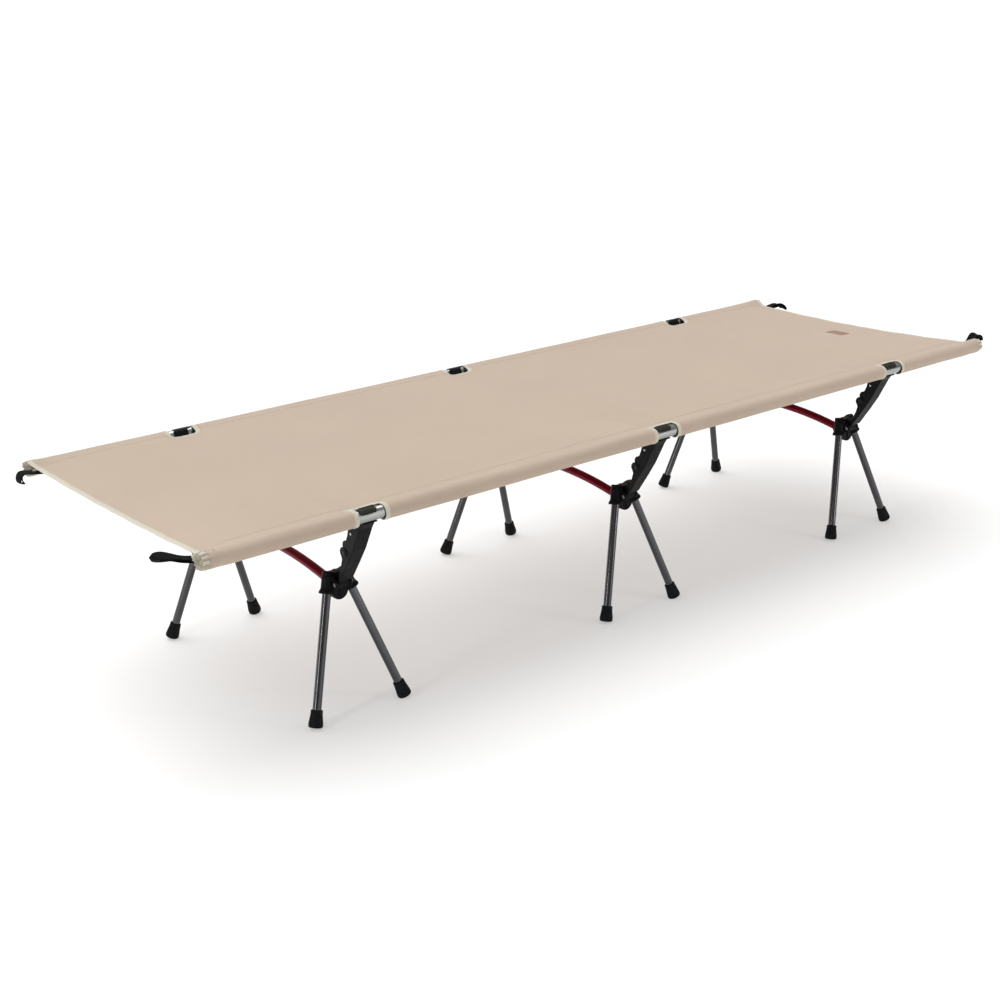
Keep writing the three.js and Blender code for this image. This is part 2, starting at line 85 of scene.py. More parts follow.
def make_mesh(name, verts, faces, uvs=None):
    """A smooth-shaded mesh with its faces turned outward. uvs has one (u, v) for each vertex."""
    mesh = bpy.data.meshes.new(name)
    mesh.from_pydata([tuple(v) for v in verts], [], faces)
    mesh.validate()
    if uvs is not None:
        layer = mesh.uv_layers.new(name="Flat")
        for loop in mesh.loops:
            layer.data[loop.index].uv = uvs[loop.vertex_index]
    work = bmesh.new()
    work.from_mesh(mesh)
    bmesh.ops.recalc_face_normals(work, faces=work.faces)
    work.to_mesh(mesh)
    work.free()
    mesh.shade_smooth()
    return mesh


def add_object(name, data, material=None, matrix=None):
    obj = bpy.data.objects.new(name, data)
    bpy.context.scene.collection.objects.link(obj)
    if matrix is not None:
        obj.matrix_world = matrix
    if material is not None and not data.materials:
        data.materials.append(material)
    return obj


def add_piece(name, mesh, material, body, matrix=None, replaces=()):
    obj = add_object(name, mesh, material, matrix)
    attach(obj, body)
    if replaces:
        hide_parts(*replaces)
    return obj


def lathe(profile, sides, start, direction, ripple=None):
    """Verts and faces of a turned solid. Its profile of (radius, station) starts and ends on the axis."""
    axis = Vector(direction).normalized()
    across = axis.orthogonal().normalized()
    other = axis.cross(across)
    verts, faces, rings = [], [], []
    for k, (radius, station) in enumerate(profile):
        base = Vector(start) + axis * station
        if radius < 1e-9:
            rings.append([len(verts)])
            verts.append(base)
            continue
        ring = []
        for i in range(sides):
            angle = 2 * pi * i / sides
            r, dx = (radius, 0) if ripple is None else ripple(k, angle, radius)
            ring.append(len(verts))
            verts.append(base + axis * dx + (across * cos(angle) + other * sin(angle)) * r)
        rings.append(ring)
    for first, second in zip(rings, rings[1:]):
        for i in range(sides):
            j = (i + 1) % sides
            if len(first) == 1 and len(second) > 1:
                faces.append((first[0], second[j], second[i]))
            elif len(second) == 1 and len(first) > 1:
                faces.append((first[i], first[j], second[0]))
            elif len(first) > 1:
                faces.append((first[i], first[j], second[j], second[i]))
    return verts, faces


def wall_faces(count, rings, closed=False):
    """Faces through rings of count points each: closed rejoins the first ring, open has end caps."""
    faces = []
    for k in range(rings if closed else rings - 1):
        first, second = k * count, (k + 1) % rings * count
        for i in range(count):
            j = (i + 1) % count
            faces.append((first + i, first + j, second + j, second + i))
    if not closed:
        faces += [tuple(reversed(range(count))), tuple(range((rings - 1) * count, rings * count))]
    return faces


def closed_lathe(profile, sides, start, direction):
    """The same for a profile that closes on itself, such as a tube wall."""
    return lathe(profile, sides, start, direction)[0], wall_faces(sides, len(profile), closed=True)


def flat_oval(count, side_power, crown_power):
    """Points round a flattened ring of half-size 1: the smaller a power, the squarer that part."""
    angles = [2 * pi * k / count for k in range(count)]
    return [(copysign(abs(cos(t)) ** side_power, cos(t)),
             copysign(abs(sin(t)) ** crown_power, sin(t))) for t in angles]


def in_mm(points):
    return [(a * MM, b * MM) for a, b in points]


def rounded(points, radius, steps):
    """An open profile with each inner corner rounded to the radius."""
    out = [points[0]]
    for a, b, c in zip(points, points[1:], points[2:]):
        pa, pb, pc = Vector(a), Vector(b), Vector(c)
        r = min(radius, (pa - pb).length * 0.45, (pc - pb).length * 0.45)
        p0 = pb + (pa - pb).normalized() * r
        p2 = pb + (pc - pb).normalized() * r
        for s in range(steps + 1):
            t = s / steps
            out.append(tuple(p0 * (1 - t) ** 2 + pb * 2 * t * (1 - t) + p2 * t * t))
    out.append(points[-1])
    return out


def tube_profile(radius, wall, length, ring_step):
    """A tube's wall with rounded rims, and rings along it for a soft tolerance."""
    inner = radius - wall
    rim = wall * 0.35
    steps = max(1, int(length / ring_step))
    outer = [(radius, rim + (length - 2 * rim) * k / steps) for k in range(steps + 1)]
    end = [(radius - rim, length), (inner + rim, length), (inner, length - rim)]
    return outer + end + [(inner, rim), (inner + rim, 0), (radius - rim, 0)]


def prism(points, low, high, axis_map):
    """Extruded outline. axis_map turns (a, b, depth) into a point."""
    count = len(points)
    verts = [axis_map(a, b, low) for a, b in points] + [axis_map(a, b, high) for a, b in points]
    faces = [tuple(reversed(range(count))), tuple(range(count, 2 * count))]
    for i in range(count):
        j = (i + 1) % count
        faces.append((i, j, count + j, count + i))
    return verts, faces


def arc(cx, cy, radius, start, end, steps):
    return [
        (cx + radius * cos(start + (end - start) * k / steps),
         cy + radius * sin(start + (end - start) * k / steps))
        for k in range(steps + 1)
    ]


def join_parts(parts):
    verts, faces, uvs = [], [], []
    for part in parts:
        offset = len(verts)
        verts += part[0]
        faces += [tuple(i + offset for i in face) for face in part[1]]
        uvs += part[2] if len(part) > 2 else [(0, 0)] * len(part[0])
    return verts, faces, uvs


def scratch(parts):
    """A temporary object of several closed parts."""
    return add_object("scratch", make_mesh("scratch", *join_parts(parts)[:2]))


def add_remesh(body, name, voxel):
    remesh = body.modifiers.new(name, "REMESH")
    remesh.mode = "VOXEL"
    remesh.voxel_size = voxel


def moulded(name, parts, cuts, voxel, smooth, ratio):
    """A moulded body: parts merged, cuts taken out, edges softened."""
    body = scratch(parts)
    tools = [scratch([cut]) for cut in cuts]
    add_remesh(body, "merge", voxel)
    for tool in tools:
        cut = body.modifiers.new("cut", "BOOLEAN")
        cut.operation = "DIFFERENCE"
        cut.solver = "EXACT"
        cut.object = tool
    if tools:
        add_remesh(body, "again", voxel)
    soften = body.modifiers.new("soften", "SMOOTH")
    soften.factor = 0.5
    soften.iterations = smooth
    thin = body.modifiers.new("thin", "DECIMATE")
    thin.ratio = ratio
    bpy.context.view_layer.update()
    graph = bpy.context.evaluated_depsgraph_get()
    mesh = bpy.data.meshes.new_from_object(body.evaluated_get(graph))
    mesh.name = name
    mesh.shade_smooth()
    for tool in tools + [body]:
        old = tool.data
        bpy.data.objects.remove(tool)
        bpy.data.meshes.remove(old)
    return mesh


# ---- material helpers

def wire(tree, node, inputs):
    """Fill a node's sockets: another node's output is linked, and anything else is set as a value."""
    for key, value in inputs.items():
        if isinstance(value, bpy.types.NodeSocket):
            tree.links.new(value, node.inputs[key])
        else:
            node.inputs[key].default_value = value


def add_node(tree, kind, inputs):
    node = tree.nodes.new(kind)
    wire(tree, node, inputs)
    return node


def new_material(name, colour, roughness, metallic=0.0, specular=0.5):
    mat = bpy.data.materials.new(name)
    mat.use_nodes = True
    shader = mat.node_tree.nodes["Principled BSDF"]
    wire(mat.node_tree, shader, {"Base Color": (*colour, 1), "Roughness": roughness, "Metallic": metallic,
                                 "Specular IOR Level": specular})
    return mat, mat.node_tree, shader


def mapped(tree, source="Object", scale=(1, 1, 1)):
    coord = tree.nodes.new("ShaderNodeTexCoord")
    inputs = {"Vector": coord.outputs[source], "Scale": scale}
    return add_node(tree, "ShaderNodeMapping", inputs).outputs["Vector"]


def noise_of(tree, vector, scale, detail=3.0, rough=0.5):
    inputs = {"Vector": vector, "Scale": scale, "Detail": detail, "Roughness": rough}
    return add_node(tree, "ShaderNodeTexNoise", inputs).outputs["Fac"]


def math_of(tree, operation, *values):
    node = add_node(tree, "ShaderNodeMath", dict(enumerate(values)))
    node.operation = operation
    return node.outputs[0]


def plus(tree, a, b):
    return math_of(tree, "ADD", a, b)


def times(tree, a, b):
    return math_of(tree, "MULTIPLY", a, b)


def remap(tree, value, low, high, from_low=0.0, from_high=1.0):
    inputs = {"Value": value, "From Min": from_low, "From Max": from_high, "To Min": low, "To Max": high}
    return add_node(tree, "ShaderNodeMapRange", inputs).outputs["Result"]


def ramp(tree, fac, stops):
    node = add_node(tree, "ShaderNodeValToRGB", {"Fac": fac})
    elements = node.color_ramp.elements
    while len(elements) < len(stops):
        elements.new(0.5)
    for element, (position, colour) in zip(elements, stops):
        element.position = position
        element.color = (*colour, 1)
    return node.outputs["Color"]


def bump(tree, height, distance, strength):
    inputs = {"Height": height, "Distance": distance, "Strength": strength}
    return add_node(tree, "ShaderNodeBump", inputs).outputs["Normal"]


def shade(colour, factor):
    return tuple(c * factor for c in colour)


def weave_height(tree, vector, pitch):
    """Plain weave: each thread rises over every other crossing thread."""
    split = add_node(tree, "ShaderNodeSeparateXYZ", {0: vector})
    u, v = (math_of(tree, "DIVIDE", split.outputs[k], pitch) for k in (0, 1))
    warp, weft = (math_of(tree, "ABSOLUTE", math_of(tree, "SINE", times(tree, t, pi))) for t in (u, v))
    cells = plus(tree, math_of(tree, "FLOOR", u), math_of(tree, "FLOOR", v))
    over = math_of(tree, "ABSOLUTE", math_of(tree, "MODULO", cells, 2.0))
    return plus(tree, times(tree, warp, over), times(tree, weft, math_of(tree, "SUBTRACT", 1.0, over)))


def cloth_material(name, colour, pitch, depth, roughness=0.85, sheen=0.25, mottle=0.06, gloss=0.25):
    """Woven cloth: painted shade in the grooves between the threads, slubs both ways and broad mottling.
    """
    mat, tree, shader = new_material(name, colour, roughness, specular=gloss)
    weave = weave_height(tree, mapped(tree, "UV"), pitch)
    wide = noise_of(tree, mapped(tree), 5.0, 4.0)
    slubs = [noise_of(tree, mapped(tree, "UV", scale), 1.0, 2.0) for scale in ((60, 900, 1), (900, 60, 1))]
    mix = plus(tree, times(tree, wide, 0.5), times(tree, plus(tree, *slubs), 0.25))
    # Base colour: the mottled tone multiplied by painted shade in the grooves between the threads
    dark = tree.nodes.new("ShaderNodeMix")
    dark.data_type = "RGBA"
    dark.blend_type = "MULTIPLY"
    wire(tree, dark, {
        "Factor": 1.0,
        "A": ramp(tree, mix, [(0.3, shade(colour, 1 - mottle)), (0.7, shade(colour, 1 + mottle))]),
        "B": ramp(tree, weave, [(0.0, (0.72, 0.70, 0.68)), (0.45, (1, 1, 1))]),
    })
    wire(tree, shader, {
        "Base Color": dark.outputs["Result"],
        "Roughness": remap(tree, weave, min(1, roughness + 0.1), roughness - 0.05),
        "Normal": bump(tree, weave, depth, 0.8),
        "Sheen Weight": sheen,
        "Sheen Roughness": 0.5,
    })
    return mat


def metal_material(name, colour, roughness, grain_axis, grain=0.12):
    """Drawn tube: fine lines along its length, and a few scuffs."""
    mat, tree, shader = new_material(name, colour, roughness, metallic=1.0)
    stretch = tuple(25 if axis == grain_axis else 2600 for axis in "XYZ")
    lines = noise_of(tree, mapped(tree, scale=stretch), 1.0, 2.0)
    clouds = noise_of(tree, mapped(tree), 38.0, 4.0)
    scuffs = noise_of(tree, mapped(tree, scale=(400, 400, 160)), 1.0, 5.0, 0.7)
    mix = plus(tree, times(tree, lines, 0.6), times(tree, clouds, 0.4))
    rough = remap(tree, lines, roughness - grain / 2, roughness + grain / 2, 0.3, 0.7)
    rough = plus(tree, rough, times(tree, remap(tree, scuffs, 0.0, 1.0, 0.62, 0.74), 0.12))
    wire(tree, shader, {
        "Base Color": ramp(tree, mix, [(0.3, shade(colour, 0.86)), (0.7, shade(colour, 1.12))]),
        "Roughness": plus(tree, rough, remap(tree, clouds, -0.03, 0.03)),
        "Normal": bump(tree, lines, 0.02 * MM, 0.5),
    })
    return mat


def plastic_material(name, colour, roughness, grain_size=0.45 * MM, depth=0.06 * MM, dust=0.0):
    """Moulded plastic or rubber: a spark-eroded grain, and paler rubbed patches."""
    mat, tree, shader = new_material(name, colour, roughness, specular=0.08)
    place = mapped(tree)
    grain = add_node(tree, "ShaderNodeTexVoronoi", {"Vector": place, "Scale": 1 / grain_size})
    fine = noise_of(tree, place, 0.6 / grain_size, 3.0)
    worn = noise_of(tree, place, 70.0, 5.0, 0.65)
    pale = tuple(c * 1.7 + 0.002 + dust for c in colour)
    height = plus(tree, grain.outputs["Distance"], times(tree, fine, 0.7))
    wire(tree, shader, {
        "Base Color": ramp(tree, remap(tree, worn, 0.0, 1.0, 0.5, 0.75), [(0.0, colour), (1.0, pale)]),
        "Roughness": remap(tree, worn, roughness + 0.08, roughness - 0.1, 0.3, 0.7),
        "Normal": bump(tree, height, depth, 0.6),
    })
    return mat


CANVAS = cloth_material("canvas", (0.472, 0.376, 0.296), 0.8 * MM, 0.12 * MM, sheen=0.10, mottle=0.05)
BINDING = cloth_material("binding_tape", (0.56, 0.525, 0.43), 0.6 * MM, 0.1 * MM, mottle=0.05)
# Cloth of the gathered sleeve ends: a darker, greener tone than the deck, partly the cloth's own tone and
# partly painted shade of its deep folds
GATHERED_SHADED_CLOTH = cloth_material("gathered_cloth_painted_shade", (0.345, 0.318, 0.250), 0.7 * MM, 0.1 * MM, sheen=0.1)
THREAD, _, _ = new_material("thread", (0.50, 0.42, 0.34), 0.6)
DARK_THREAD, _, _ = new_material("dark_thread", (0.02, 0.02, 0.021), 0.5)
WEBBING = cloth_material("black_webbing", (0.005, 0.005, 0.0055), 1.1 * MM, 0.3 * MM, roughness=0.75,
                         sheen=0.02, mottle=0.3, gloss=0.06)
LABEL = cloth_material("woven_label", (0.26, 0.128, 0.095), 0.6 * MM, 0.1 * MM, roughness=0.7, mottle=0.08)
SILVER = metal_material("silver_aluminium", (0.36, 0.37, 0.355), 0.19, "X")
ANODISED = metal_material("grey_anodised", (0.082, 0.080, 0.085), 0.15, "Z", grain=0.06)
RED = metal_material("red_anodised", (0.15, 0.008, 0.018), 0.32, "Y")
NYLON = plastic_material("black_nylon", (0.004, 0.004, 0.0045), 0.42)
PAD = plastic_material("grip_pad", (0.020, 0.020, 0.015), 0.55, grain_size=0.8 * MM, depth=0.1 * MM)
RUBBER = plastic_material("foot_rubber", (0.006, 0.006, 0.007), 0.6, grain_size=0.6 * MM,
                          depth=0.1 * MM, dust=0.002)
DARK_STEEL = metal_material("dark_steel", (0.16, 0.16, 0.165), 0.33, "X")
BLACK_STEEL = metal_material("blackened_steel", (0.022, 0.022, 0.023), 0.38, "X")
RIVET_STEEL = metal_material("rivet_steel", (0.62, 0.59, 0.54), 0.42, "X")


# ---- fabric deck

CLOTH_RADIUS = POLE_RADIUS + 1.2 * MM
CLOTH_TOP = POLE_Z + CLOTH_RADIUS
SEAM_INBOARD = 26 * MM
SEAM_ANGLE = atan2(SEAM_INBOARD, CLOTH_RADIUS)
WRAP_ANGLE = 2 * pi - 2 * SEAM_ANGLE
WRAP_LENGTH = WRAP_ANGLE * CLOTH_RADIUS
EDGE = POLE_Y + WRAP_LENGTH + SEAM_INBOARD
NOTCH_HALF = 26 * MM
NOTCH_REACH = 26 * MM
NOTCH_CORNER = 9 * MM
NOTCH_W = POLE_Y - NOTCH_REACH
CORNER_X = NOTCH_HALF - NOTCH_CORNER
CORNER_W = NOTCH_W + NOTCH_CORNER
NOTCH_DROOP = 10 * MM
HEM_INSET = 7 * MM
HEM_BOW = 3 * MM
SAG_MIDDLE = 5 * MM
SAG_END = 9 * MM
END_DROOP = 7 * MM
BOTTOM_SLACK = 2.2 * MM


def smoothstep(t):
    t = max(0.0, min(1.0, t))
    return t * t * (3 - 2 * t)


def hem_inset(w):
    """How far the cloth's end edge sits back from the sleeve end, at a distance w across."""
    a = min(abs(w) / (POLE_Y - 30 * MM), 1.0)
    deep = HEM_INSET + HEM_BOW * (1 - a * a)
    return deep * (1 - smoothstep((abs(w) - (POLE_Y - 34 * MM)) / (28 * MM)))


def sag(x, a):
    """How far the panel lies below the pole tops: a shallow trough, deeper at the ends and notches."""
    near_end = smoothstep((abs(x) - DECK_HALF + 0.22) / 0.22)
    depth = SAG_MIDDLE + (SAG_END - SAG_MIDDLE) * near_end
    nearest = min(abs(x - fx) for fx in FRAME_X)
    depth *= 1 - 0.25 * exp(-(nearest / 0.12) ** 2)
    trough = depth * (1 - (a / POLE_Y) ** 2)
    inboard = POLE_Y - a
    ends = smoothstep((abs(x) - DECK_HALF + 0.075) / 0.075)
    trough += END_DROOP * ends * smoothstep((inboard - 3 * MM) / (30 * MM))
    dip = NOTCH_DROOP * exp(-(nearest / (34 * MM)) ** 4) * exp(-inboard / 0.11)
    return trough + dip * smoothstep((inboard - 4 * MM) / (22 * MM))


def panel_relief(x, a, side):
    """Shallow drag lines that run from the notches and corners into the panel."""
    lift = 0.0
    for fx in FRAME_X:
        dx, dy = x - fx, NOTCH_W - a
        reach = hypot(dx, dy)
        fan = cos(9 * atan2(dy, dx) + 13 * fx + side)
        lift += 0.45 * MM * fan * exp(-reach / 0.07) * smoothstep((reach - 0.03) / 0.05)
    lift += 0.5 * MM * noise.noise(Vector((x * 5, a * 6 * side, 3.0)))
    ends = DECK_HALF - abs(x)
    pleat = sin(60 * a + 7 * side) * exp(-ends / 0.06)
    lift += 0.5 * MM * pleat * smoothstep((POLE_Y - a) / 0.05)
    return lift * smoothstep((POLE_Y - a) / 0.02)


def sleeve_ripple(x, angle, side):
    """Slack of the sleeve round the pole: long soft folds, a slack underside and a gathered end."""
    end = DECK_HALF - abs(x)
    fold = 0.55 * MM * (noise.noise(Vector((x * 7, angle * 0.9, 5.0 * side))) + 0.35)
    slack = BOTTOM_SLACK * sin(min(angle, pi) / 2) ** 2 * smoothstep((end - 6 * MM) / (50 * MM))
    drag = noise.noise(Vector((x * 14, angle * 2.6 + x * 9 * side, 9.0 * side)))
    pull = 1.9 * MM * exp(-end / (60 * MM)) * drag * sin(min(angle, pi) / 2 + 0.35)
    puff = 0.9 * MM * exp(-((end - 13 * MM) / (9 * MM)) ** 2)
    turn = 10 * angle + 3 * side + 2.6 * noise.noise(Vector((angle * 1.5, x * 20, 2.0 * side)))
    drawn_in = 0.9 * MM * exp(-end / (5 * MM))
    gather = exp(-end / (60 * MM)) * (0.85 * MM * (1 + sin(turn)) - drawn_in)
    return max(fold, -0.1 * MM) + slack + pull + puff + gather


def cloth_point(u, w):
    """Where the point at (u, w) of the flat cloth lies. w is 0 on the bed's centre line."""
    side = 1 if w >= 0 else -1
    a = abs(w)
    end_blend = smoothstep((abs(u) - (DECK_HALF - 0.09)) / 0.09)
    x = u - copysign(hem_inset(w) * end_blend, u)
    if a <= POLE_Y:
        y, z = a, CLOTH_TOP - sag(x, a) + panel_relief(x, a, side)
        z += sleeve_ripple(x, 0.0, side) * smoothstep((a - POLE_Y + 0.02) / 0.02)
    elif a <= POLE_Y + WRAP_LENGTH:
        angle = (a - POLE_Y) / CLOTH_RADIUS
        radius = CLOTH_RADIUS + sleeve_ripple(x, angle, side)
        y = POLE_Y + radius * sin(angle)
        z = POLE_Z + radius * cos(angle)
    else:
        t = (a - POLE_Y - WRAP_LENGTH) / SEAM_INBOARD
        radius = CLOTH_RADIUS + sleeve_ripple(x, WRAP_ANGLE, side) * (1 - t)
        y0 = POLE_Y + radius * sin(WRAP_ANGLE)
        z0 = POLE_Z + radius * cos(WRAP_ANGLE)
        seam_y = POLE_Y - SEAM_INBOARD
        seam_z = CLOTH_TOP - 1.3 * MM - sag(x, seam_y)
        y, z = y0 + (seam_y - y0) * t, z0 + (seam_z - z0) * t
        z -= 1.5 * MM * sin(pi * t)
    return Vector((x, side * y, z))


def cloth_normal(u, w):
    step = 0.4 * MM
    du = cloth_point(u + step, w) - cloth_point(u - step, w)
    dw = cloth_point(u, w + step) - cloth_point(u, w - step)
    return du.cross(dw).normalized()


def spread(start, end, step):
    count = max(1, round((end - start) / step))
    return [start + (end - start) * k / count for k in range(count)]


def stepped(start, runs):
    """Stations from the start through runs of (stop, step)."""
    stations = []
    for stop, step in runs:
        stations += spread(start, stop, step)
        start = stop
    return stations + [start]


def grid_lines_along():
    """Stations along the bed: close together at its ends and at the notches' round corners."""
    near, fine = 60 * MM, 1.3 * MM
    runs = [(-DECK_HALF + near, 3 * MM)]
    for fx in FRAME_X:
        runs += [(fx - near, 13 * MM), (fx - NOTCH_HALF, 4 * MM), (fx - CORNER_X, fine),
                 (fx + CORNER_X, 6 * MM), (fx + NOTCH_HALF, fine), (fx + near, 4 * MM)]
    return stepped(-DECK_HALF, runs + [(DECK_HALF - near, 13 * MM), (DECK_HALF, 3 * MM)])


def grid_lines_across():
    half = stepped(0, [(NOTCH_W - 10 * MM, 11 * MM), (NOTCH_W, 3 * MM), (CORNER_W, 1.3 * MM),
                       (POLE_Y, 3 * MM), (POLE_Y + WRAP_LENGTH, 2.2 * MM), (EDGE, 6 * MM)])
    return [-w for w in reversed(half[1:])] + half


def notch_depth(u, a):
    """Signed distance into the nearest notch, on the flat cloth: positive inside it."""
    dx = min(abs(u - fx) for fx in FRAME_X)
    if dx > CORNER_X and a < CORNER_W:
        return NOTCH_CORNER - hypot(dx - CORNER_X, CORNER_W - a)
    return min(NOTCH_HALF - dx, a - NOTCH_W)


def snapped(u, w):
    """Grid points by a notch's round corner move onto its outline."""
    a = abs(w)
    fx = min(FRAME_X, key=lambda place: abs(u - place))
    dx, dw = abs(u - fx) - CORNER_X, CORNER_W - a
    reach = hypot(dx, dw)
    if dx <= 0 or dw <= 0 or abs(reach - NOTCH_CORNER) > 0.8 * MM:
        return u, w
    scale = NOTCH_CORNER / reach
    return (fx + copysign(CORNER_X + dx * scale, u - fx), copysign(CORNER_W - dw * scale, w))


def build_deck():
    along, across = grid_lines_along(), grid_lines_across()
    columns = len(across)
    flat = [snapped(u, w) for u in along for w in across]
    faces = []
    for i in range(len(along) - 1):
        for j in range(columns - 1):
            u = (along[i] + along[i + 1]) / 2
            a = abs(across[j] + across[j + 1]) / 2
            if notch_depth(u, a) > 0:
                continue
            k = i * columns + j
            faces.append((k, k + columns, k + columns + 1, k + 1))
    used = sorted({k for face in faces for k in face})
    index = {k: n for n, k in enumerate(used)}
    faces = [tuple(index[k] for k in face) for face in faces]
    mesh = make_mesh("deck_cloth", [cloth_point(*flat[k]) for k in used], faces, [flat[k] for k in used])
    deck = add_piece("deck_cloth", mesh, CANVAS, ROOT, replaces=["fabric_deck"])
    skin = deck.modifiers.new("thickness", "SOLIDIFY")
    skin.thickness = 0.7 * MM
    skin.offset = 0.0
    return deck


# ---- binding tape and stitches

def tape(path, half_width, half_thickness):
    """A folded tape along a path of (u, w, inward u, inward w) on the flat cloth."""
    section = flat_oval(14, 0.45, 0.7)
    verts, uvs = [], []
    travelled = 0.0
    for k, (u, w, nu, nw) in enumerate(path):
        inset = half_width - 0.8 * MM
        middle_u, middle_w = u + nu * inset, w + nw * inset
        point = cloth_point(middle_u, middle_w)
        normal = cloth_normal(middle_u, middle_w)
        step = 0.5 * MM
        inward = (cloth_point(middle_u + nu * step, middle_w + nw * step) - point).normalized()
        if k:
            travelled += hypot(u - path[k - 1][0], w - path[k - 1][1])
        pucker = 1 + 0.16 * noise.noise(Vector((travelled * 160, w * 30, 1.0)))
        for a, b in section:
            verts.append(point + inward * (a * half_width) + normal * (b * half_thickness * pucker))
            uvs.append((travelled, a * half_width + 1.5 * b * half_thickness))
    return verts, wall_faces(len(section), len(path)), uvs


def notch_outline(fx, side):
    """The notch's cut edge on the flat cloth, with the direction into the cloth."""
    points = [(NOTCH_HALF, w, 1, 0) for w in spread(EDGE, CORNER_W, -3 * MM)]
    for x, w in arc(CORNER_X, CORNER_W, NOTCH_CORNER, 0, -pi / 2, 8):
        points.append((x, w, (x - CORNER_X) / NOTCH_CORNER, (w - CORNER_W) / NOTCH_CORNER))
    points += [(x, NOTCH_W, 0, -1) for x in spread(CORNER_X, 0, -4 * MM)[1:]]
    points += [(-x, w, -nu, nw) for x, w, nu, nw in reversed(points)]
    return [(fx + x, side * w, nu, side * nw) for x, w, nu, nw in points]


def end_outline(end):
    widths = spread(-EDGE, EDGE, 4 * MM) + [EDGE]
    return [(end * DECK_HALF, w, -end, 0) for w in widths]


def stitch(point, along, normal, length, radius):
    """One stitch: a short thread that dips into the cloth at both ends."""
    across = along.cross(normal).normalized()
    verts = [point - along * length / 2 - normal * radius]
    faces = []
    for t in (-0.28, 0.28):
        for k in range(6):
            angle = pi * 2 * k / 6
            verts.append(point + along * (t * length) + normal * (radius * (0.35 + cos(angle)))
                         + across * (radius * sin(angle)))
    verts.append(point + along * length / 2 - normal * radius)
    for k in range(6):
        j = (k + 1) % 6
        faces.append((0, 1 + j, 1 + k))
        faces.append((1 + k, 1 + j, 7 + j, 7 + k))
        faces.append((7 + k, 7 + j, 13))
    return verts, faces


def stitch_row(path, lift, pitch=4 * MM, length=3.1 * MM, radius=0.32 * MM):
    """Stitches along a list of (u, w) on the flat cloth."""
    parts = []
    left = pitch / 2
    for (u0, w0), (u1, w1) in zip(path, path[1:]):
        span = hypot(u1 - u0, w1 - w0)
        place = left
        while place < span:
            t = place / span
            u, w = u0 + (u1 - u0) * t, w0 + (w1 - w0) * t
            normal = cloth_normal(u, w)
            ahead = cloth_point(u + (u1 - u0) / span * MM, w + (w1 - w0) / span * MM)
            point = cloth_point(u, w)
            along = (ahead - point).normalized()
            parts.append(stitch(point + normal * lift, along, normal, length, radius))
            place += pitch
        left = place - span
    return parts


END_TAPE_HALF = 5 * MM
END_STITCH_INSET = 6.6 * MM
NOTCH_TAPE_HALF = 4.2 * MM
NOTCH_STITCH_INSET = 5.6 * MM
TAPE_LIFT = 0.95 * MM
SEAM_ROWS = (SEAM_INBOARD - 1.2 * MM, SEAM_INBOARD + 1.6 * MM)


def build_trim():
    tapes, stitches = [], []
    for end in (-1, 1):
        outline = end_outline(end)
        tapes.append(tape(outline, END_TAPE_HALF, TAPE_LIFT))
        row = [(u + nu * END_STITCH_INSET, w) for u, w, nu, nw in outline if abs(w) < POLE_Y]
        stitches += stitch_row(row, TAPE_LIFT)
    for fx in FRAME_X:
        for side in (-1, 1):
            outline = notch_outline(fx, side)
            tapes.append(tape(outline, NOTCH_TAPE_HALF, TAPE_LIFT))
            inset = NOTCH_STITCH_INSET
            row = [(u + nu * inset, w + nw * inset) for u, w, nu, nw in outline]
            stitches += stitch_row(row, TAPE_LIFT)
    stops = [-DECK_HALF + 14 * MM]
    for fx in FRAME_X:
        stops += [fx - NOTCH_HALF - 9 * MM, fx + NOTCH_HALF + 9 * MM]
    stops.append(DECK_HALF - 14 * MM)
    for side in (-1, 1):
        for start, end in zip(stops[::2], stops[1::2]):
            for inboard in SEAM_ROWS:
                row = [(u, side * (POLE_Y - inboard)) for u in spread(start, end, 8 * MM) + [end]]
                stitches += stitch_row(row, 0.35 * MM)
    mesh = make_mesh("binding_tape", *join_parts(tapes))
    add_piece("binding_tape", mesh, BINDING, ROOT)
    mesh = make_mesh("deck_stitching", *join_parts(stitches)[:2])
    add_piece("deck_stitching", mesh, THREAD, ROOT)


def build_sleeve_ends():
    """Gathered closures over the four sleeve ends: cloth drawn in by folds to a sunken middle."""
    rim = [(11.9, -26), (13.3, -25.6), (13.9, -23), (13.6, -19), (14.1, -14), (14.5, -9), (14.4, -4.5),
           (13.8, -0.6), (12.6, 2.4), (11.0, 4.4), (9.4, 5.2), (7.9, 4.6), (6.4, 3.0), (5.0, 1.2),
           (3.6, 0.2), (2.4, -0.3), (1.2, -0.5)]
    outline = rounded(in_mm(rim), 1.2 * MM, 3)
    profile = [(0, -26 * MM)] + outline + [(0, -0.6 * MM)]
    corners = [("near", "left"), ("near", "right"), ("far", "left"), ("far", "right")]
    for number, (side, end) in enumerate(corners):
        folds = 9 + number % 2
        turn = rng.uniform(0, 6)

        def ripple(k, angle, radius, folds=folds, turn=turn, number=number):
            reach = k / len(profile)
            around = Vector((cos(angle) * 1.6, sin(angle) * 1.6, number + 0.5))
            uneven = 1 + 0.7 * noise.noise(around)
            phase = folds * angle + turn + 1.8 * reach + 1.5 * noise.noise(around * 1.7)
            fold = (1 - 2 * abs(sin(phase / 2)) ** 0.7) * uneven
            deep = (0.5 + 0.5 * smoothstep((reach - 0.2) / 0.3)) * min(1, radius / (6 * MM))
            lean = 0.9 * MM * sin(angle + turn) * reach
            return radius * (1 + 0.075 * fold * deep), 1.5 * MM * fold * deep + lean

        direction = (1 if end == "right" else -1, 0, 0)
        start = (direction[0] * DECK_HALF, (1 if side == "far" else -1) * POLE_Y, POLE_Z)
        verts, faces = lathe(profile, 144, start, direction, ripple)
        uvs = [(v.y, v.z) for v in verts]
        name = f"sleeve_end_{side}_{end}"
        # The gathered ends' darker colour is partly painted shade of their folds
        add_piece(name, make_mesh(name, verts, faces, uvs), GATHERED_SHADED_CLOTH, ROOT)


